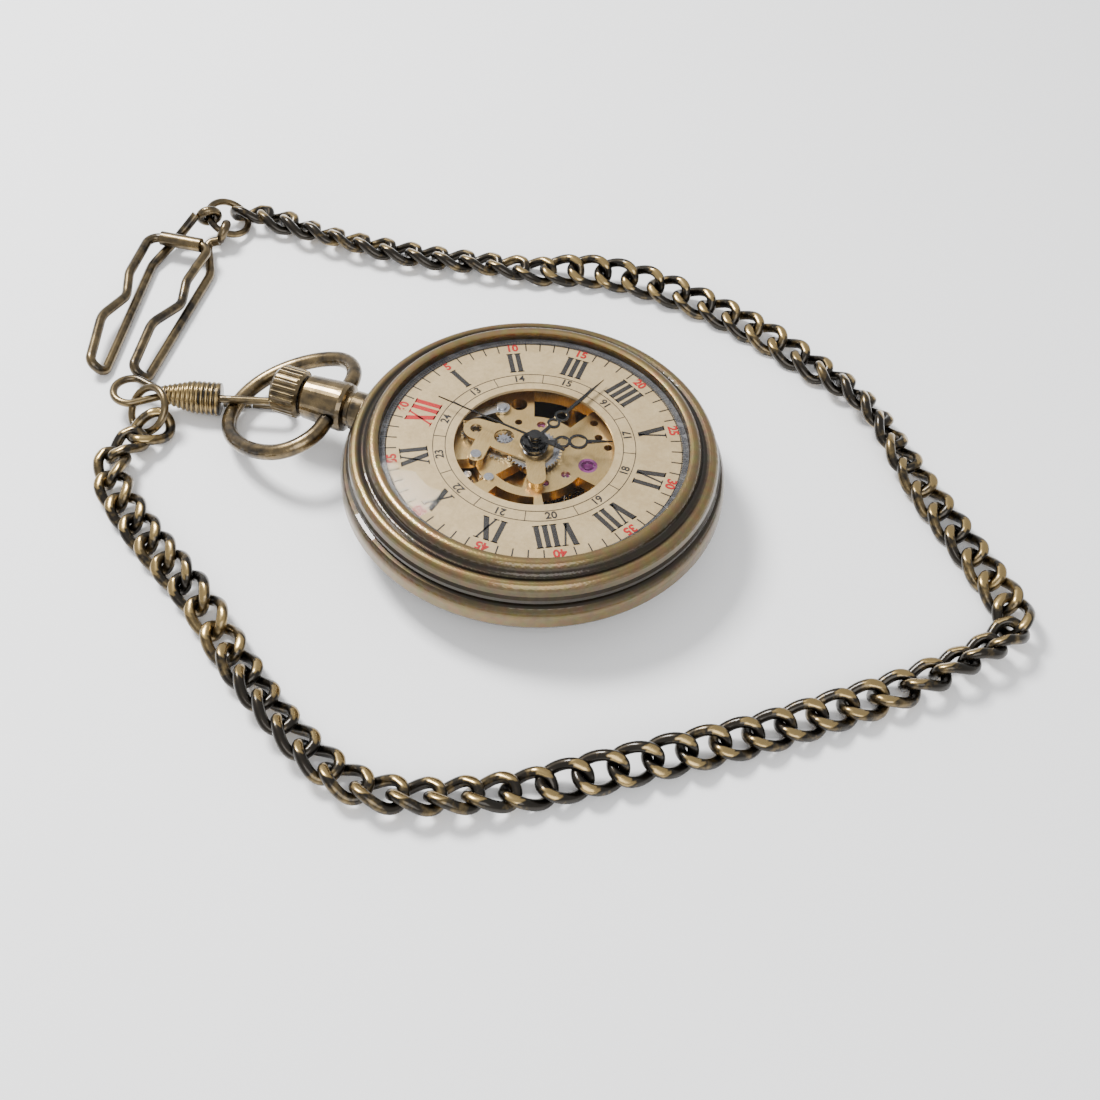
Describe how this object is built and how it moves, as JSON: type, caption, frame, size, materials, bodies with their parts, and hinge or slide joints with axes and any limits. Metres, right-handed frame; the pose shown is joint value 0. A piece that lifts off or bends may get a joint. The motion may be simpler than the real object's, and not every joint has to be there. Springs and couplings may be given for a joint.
{
  "type": "pocket watch",
  "caption": "Open-face pocket watch with a skeleton movement, winding crown, bow, spring-hook clasp, curb chain and trouser clip.",
  "frame": {"origin": "centre of the case back's resting face, on the surface the watch lies on", "axes": "+Z out of the dial, +Y to twelve o'clock and the crown, +X to three o'clock"},
  "size_m": [0.0926, 0.1287, 0.0136],
  "materials": {
    "antique_brass": "dark patina with worn bright crests",
    "dark_bronze": "dark patina",
    "gilt_brass": "gilded, fine brushed",
    "steel": "polished",
    "spring_steel": "blued",
    "dial_enamel": "satin champagne",
    "black_hands": "gloss black",
    "crystal_glass": "polished",
    "gasket_rubber": "satin",
    "ruby": "polished"
  },
  "bodies": {
    "case": {"case_back": "antique_brass", "case_band": "antique_brass", "bezel": "antique_brass", "crystal": "crystal_glass", "crystal_gasket": "gasket_rubber", "dial": "dial_enamel", "movement_ring": "steel", "case_screws": "steel", "pendant": "antique_brass", "main_plate": "gilt_brass", "train_bridge": "gilt_brass", "barrel_bridge": "gilt_brass", "balance_cock": "gilt_brass", "pallet_bridge": "gilt_brass", "motion_work_bridge": "gilt_brass", "bridge_screws": "steel", "train_jewels": "ruby", "balance_jewel_setting": "ruby", "minute_post": "steel", "click_screw": "steel", "setting_lever_screw": "steel", "hairspring": "spring_steel", "chain_main": "dark_bronze", "chain_side": "dark_bronze"},
    "seconds": {"fourth_wheel": "gilt_brass", "seconds_hand": "black_hands"},
    "third": {"third_wheel": "gilt_brass"},
    "minutes": {"center_wheel": "gilt_brass", "cannon_pinion": "steel", "minute_hand": "black_hands"},
    "minute_gear": {"minute_wheel": "steel"},
    "setting_gear": {"setting_wheel": "steel"},
    "hours": {"hour_wheel": "steel", "hour_hand": "black_hands"},
    "escapement": {"escape_wheel": "steel"},
    "barrel": {"mainspring_barrel": "gilt_brass", "mainspring": "spring_steel"},
    "pallets": {"pallet_fork": "steel"},
    "balance": {"balance_wheel": "gilt_brass"},
    "winding": {"winding_pinion": "steel"},
    "crown": {"crown": "dark_bronze", "winding_stem": "steel"},
    "clutch": {"sliding_clutch": "steel"},
    "crown_gear": {"crown_wheel": "steel"},
    "arbor": {"barrel_arbor": "steel", "ratchet_wheel": "steel", "ratchet_screw": "steel"},
    "click": {"click": "steel"},
    "lever": {"setting_lever": "steel"},
    "bow": {"bow": "antique_brass"},
    "clasp": {"clasp_hook": "dark_bronze", "clasp_gate": "dark_bronze", "clasp_sleeve": "dark_bronze", "clasp_eye": "dark_bronze", "chain_near": "dark_bronze"},
    "clasp_ring": {"clasp_ring": "dark_bronze"},
    "clip_ring": {"clip_ring": "dark_bronze"},
    "clip": {"clip_wire_left": "dark_bronze", "clip_wire_right": "dark_bronze", "clip_bar": "dark_bronze"}
  },
  "joints": [
    {"name": "escape_turn", "type": "hinge", "parent": "case", "child": "escapement", "pos_m": [-0.00396, -0.00278, 0.0049], "axis": [0, 0, -1], "continuous": true},
    {"name": "seconds_turn", "type": "hinge", "parent": "case", "child": "seconds", "pos_m": [0, 0, 0.0114], "axis": [0, 0, -1], "continuous": true},
    {"name": "third_turn", "type": "hinge", "parent": "case", "child": "third", "pos_m": [0.00492, 0.00087, 0.0053], "axis": [0, 0, -1], "continuous": true},
    {"name": "minutes_turn", "type": "hinge", "parent": "case", "child": "minutes", "pos_m": [0, 0, 0.0064], "axis": [0, 0, -1], "continuous": true},
    {"name": "minute_gear_turn", "type": "hinge", "parent": "case", "child": "minute_gear", "pos_m": [0.00035, 0.00398, 0.0088], "axis": [0, 0, -1], "continuous": true},
    {"name": "setting_gear_turn", "type": "hinge", "parent": "case", "child": "setting_gear", "pos_m": [0.00035, 0.00815, 0.0088], "axis": [0, 0, -1], "continuous": true},
    {"name": "hours_turn", "type": "hinge", "parent": "case", "child": "hours", "pos_m": [0, 0, 0.0092], "axis": [0, 0, -1], "continuous": true},
    {"name": "barrel_turn", "type": "hinge", "parent": "case", "child": "barrel", "pos_m": [-0.00551, 0.00634, 0.0059], "axis": [0, 0, -1], "continuous": true},
    {"name": "pallet_rock", "type": "hinge", "parent": "case", "child": "pallets", "pos_m": [-0.00174, -0.00464, 0.0049], "axis": [0, 0, 1], "range_deg": [-5, 5]},
    {"name": "balance_swing", "type": "hinge", "parent": "case", "child": "balance", "pos_m": [0.0006, -0.0066, 0.0035], "axis": [0, 0, 1], "range_deg": [-270, 270], "stiffness_Nm_per_rad": 0.00000027},
    {"name": "winding_turn", "type": "hinge", "parent": "case", "child": "winding", "pos_m": [0, 0.015, 0.0071], "axis": [0, 1, 0], "continuous": true},
    {"name": "crown_pull", "type": "slide", "parent": "winding", "child": "crown", "axis": [0, 1, 0], "range_m": [0, 0.0012]},
    {"name": "clutch_slide", "type": "slide", "parent": "winding", "child": "clutch", "axis": [0, 1, 0], "range_m": [-0.0007, 0]},
    {"name": "crown_gear_turn", "type": "hinge", "parent": "case", "child": "crown_gear", "pos_m": [0, 0.0132, 0.0026], "axis": [0, 0, -1], "continuous": true},
    {"name": "arbor_turn", "type": "hinge", "parent": "case", "child": "arbor", "pos_m": [-0.00551, 0.00634, 0.0026], "axis": [0, 0, -1], "continuous": true},
    {"name": "click_rock", "type": "hinge", "parent": "case", "child": "click", "pos_m": [0.0006, 0.0036, 0.0026], "axis": [0, 0, -1], "range_deg": [0, 8], "stiffness_Nm_per_rad": 0.0001},
    {"name": "lever_rock", "type": "hinge", "parent": "case", "child": "lever", "pos_m": [0.0056, 0.0063, 0.0088], "axis": [0, 0, -1], "range_deg": [0, 8]},
    {"name": "bow_swing", "type": "hinge", "parent": "case", "child": "bow", "pos_m": [0, 0.026, 0.0071], "axis": [1, 0, 0], "range_deg": [-55, 100]},
    {"name": "clasp_swing", "type": "hinge", "parent": "bow", "child": "clasp", "pos_m": [0.0003, 0.04033, 0.00202], "axis": [1, 0, 0], "range_deg": [-6, 6], "deforming": ["chain_near"]},
    {"name": "clasp_ring_swing", "type": "hinge", "parent": "clasp", "child": "clasp_ring", "pos_m": [-0.0049, 0.0516, 0.0029], "axis": [-0.4561, 0.5878, -0.6682], "range_deg": [-6, 6]},
    {"name": "clip_ring_swing", "type": "hinge", "parent": "case", "child": "clip_ring", "pos_m": [0.03546, 0.05779, 0.00169], "axis": [0.5823, 0.7255, 0.3668], "range_deg": [-10, 10]},
    {"name": "clip_swing", "type": "hinge", "parent": "clip_ring", "child": "clip", "pos_m": [0.03036, 0.06015, 0.00288], "axis": [-0.3274, -0.8432, -0.4264], "range_deg": [-6, 6]}
  ],
  "couplings": [
    {"joint": "seconds_turn", "follows": "escape_turn", "ratio": -0.1},
    {"joint": "third_turn", "follows": "escape_turn", "ratio": 0.013333},
    {"joint": "minutes_turn", "follows": "escape_turn", "ratio": -0.0016667},
    {"joint": "minute_gear_turn", "follows": "escape_turn", "ratio": 0.00055556},
    {"joint": "setting_gear_turn", "follows": "escape_turn", "ratio": -0.0014286},
    {"joint": "hours_turn", "follows": "escape_turn", "ratio": -0.00013889},
    {"joint": "barrel_turn", "follows": "escape_turn", "ratio": 0.00027778},
    {"joint": "clutch_slide", "follows": "crown_pull", "ratio": -0.55},
    {"joint": "crown_gear_turn", "follows": "winding_turn", "ratio": -0.4375},
    {"joint": "arbor_turn", "follows": "winding_turn", "ratio": 0.25},
    {"joint": "lever_rock", "follows": "crown_pull", "rad_per_m": 116}
  ]
}
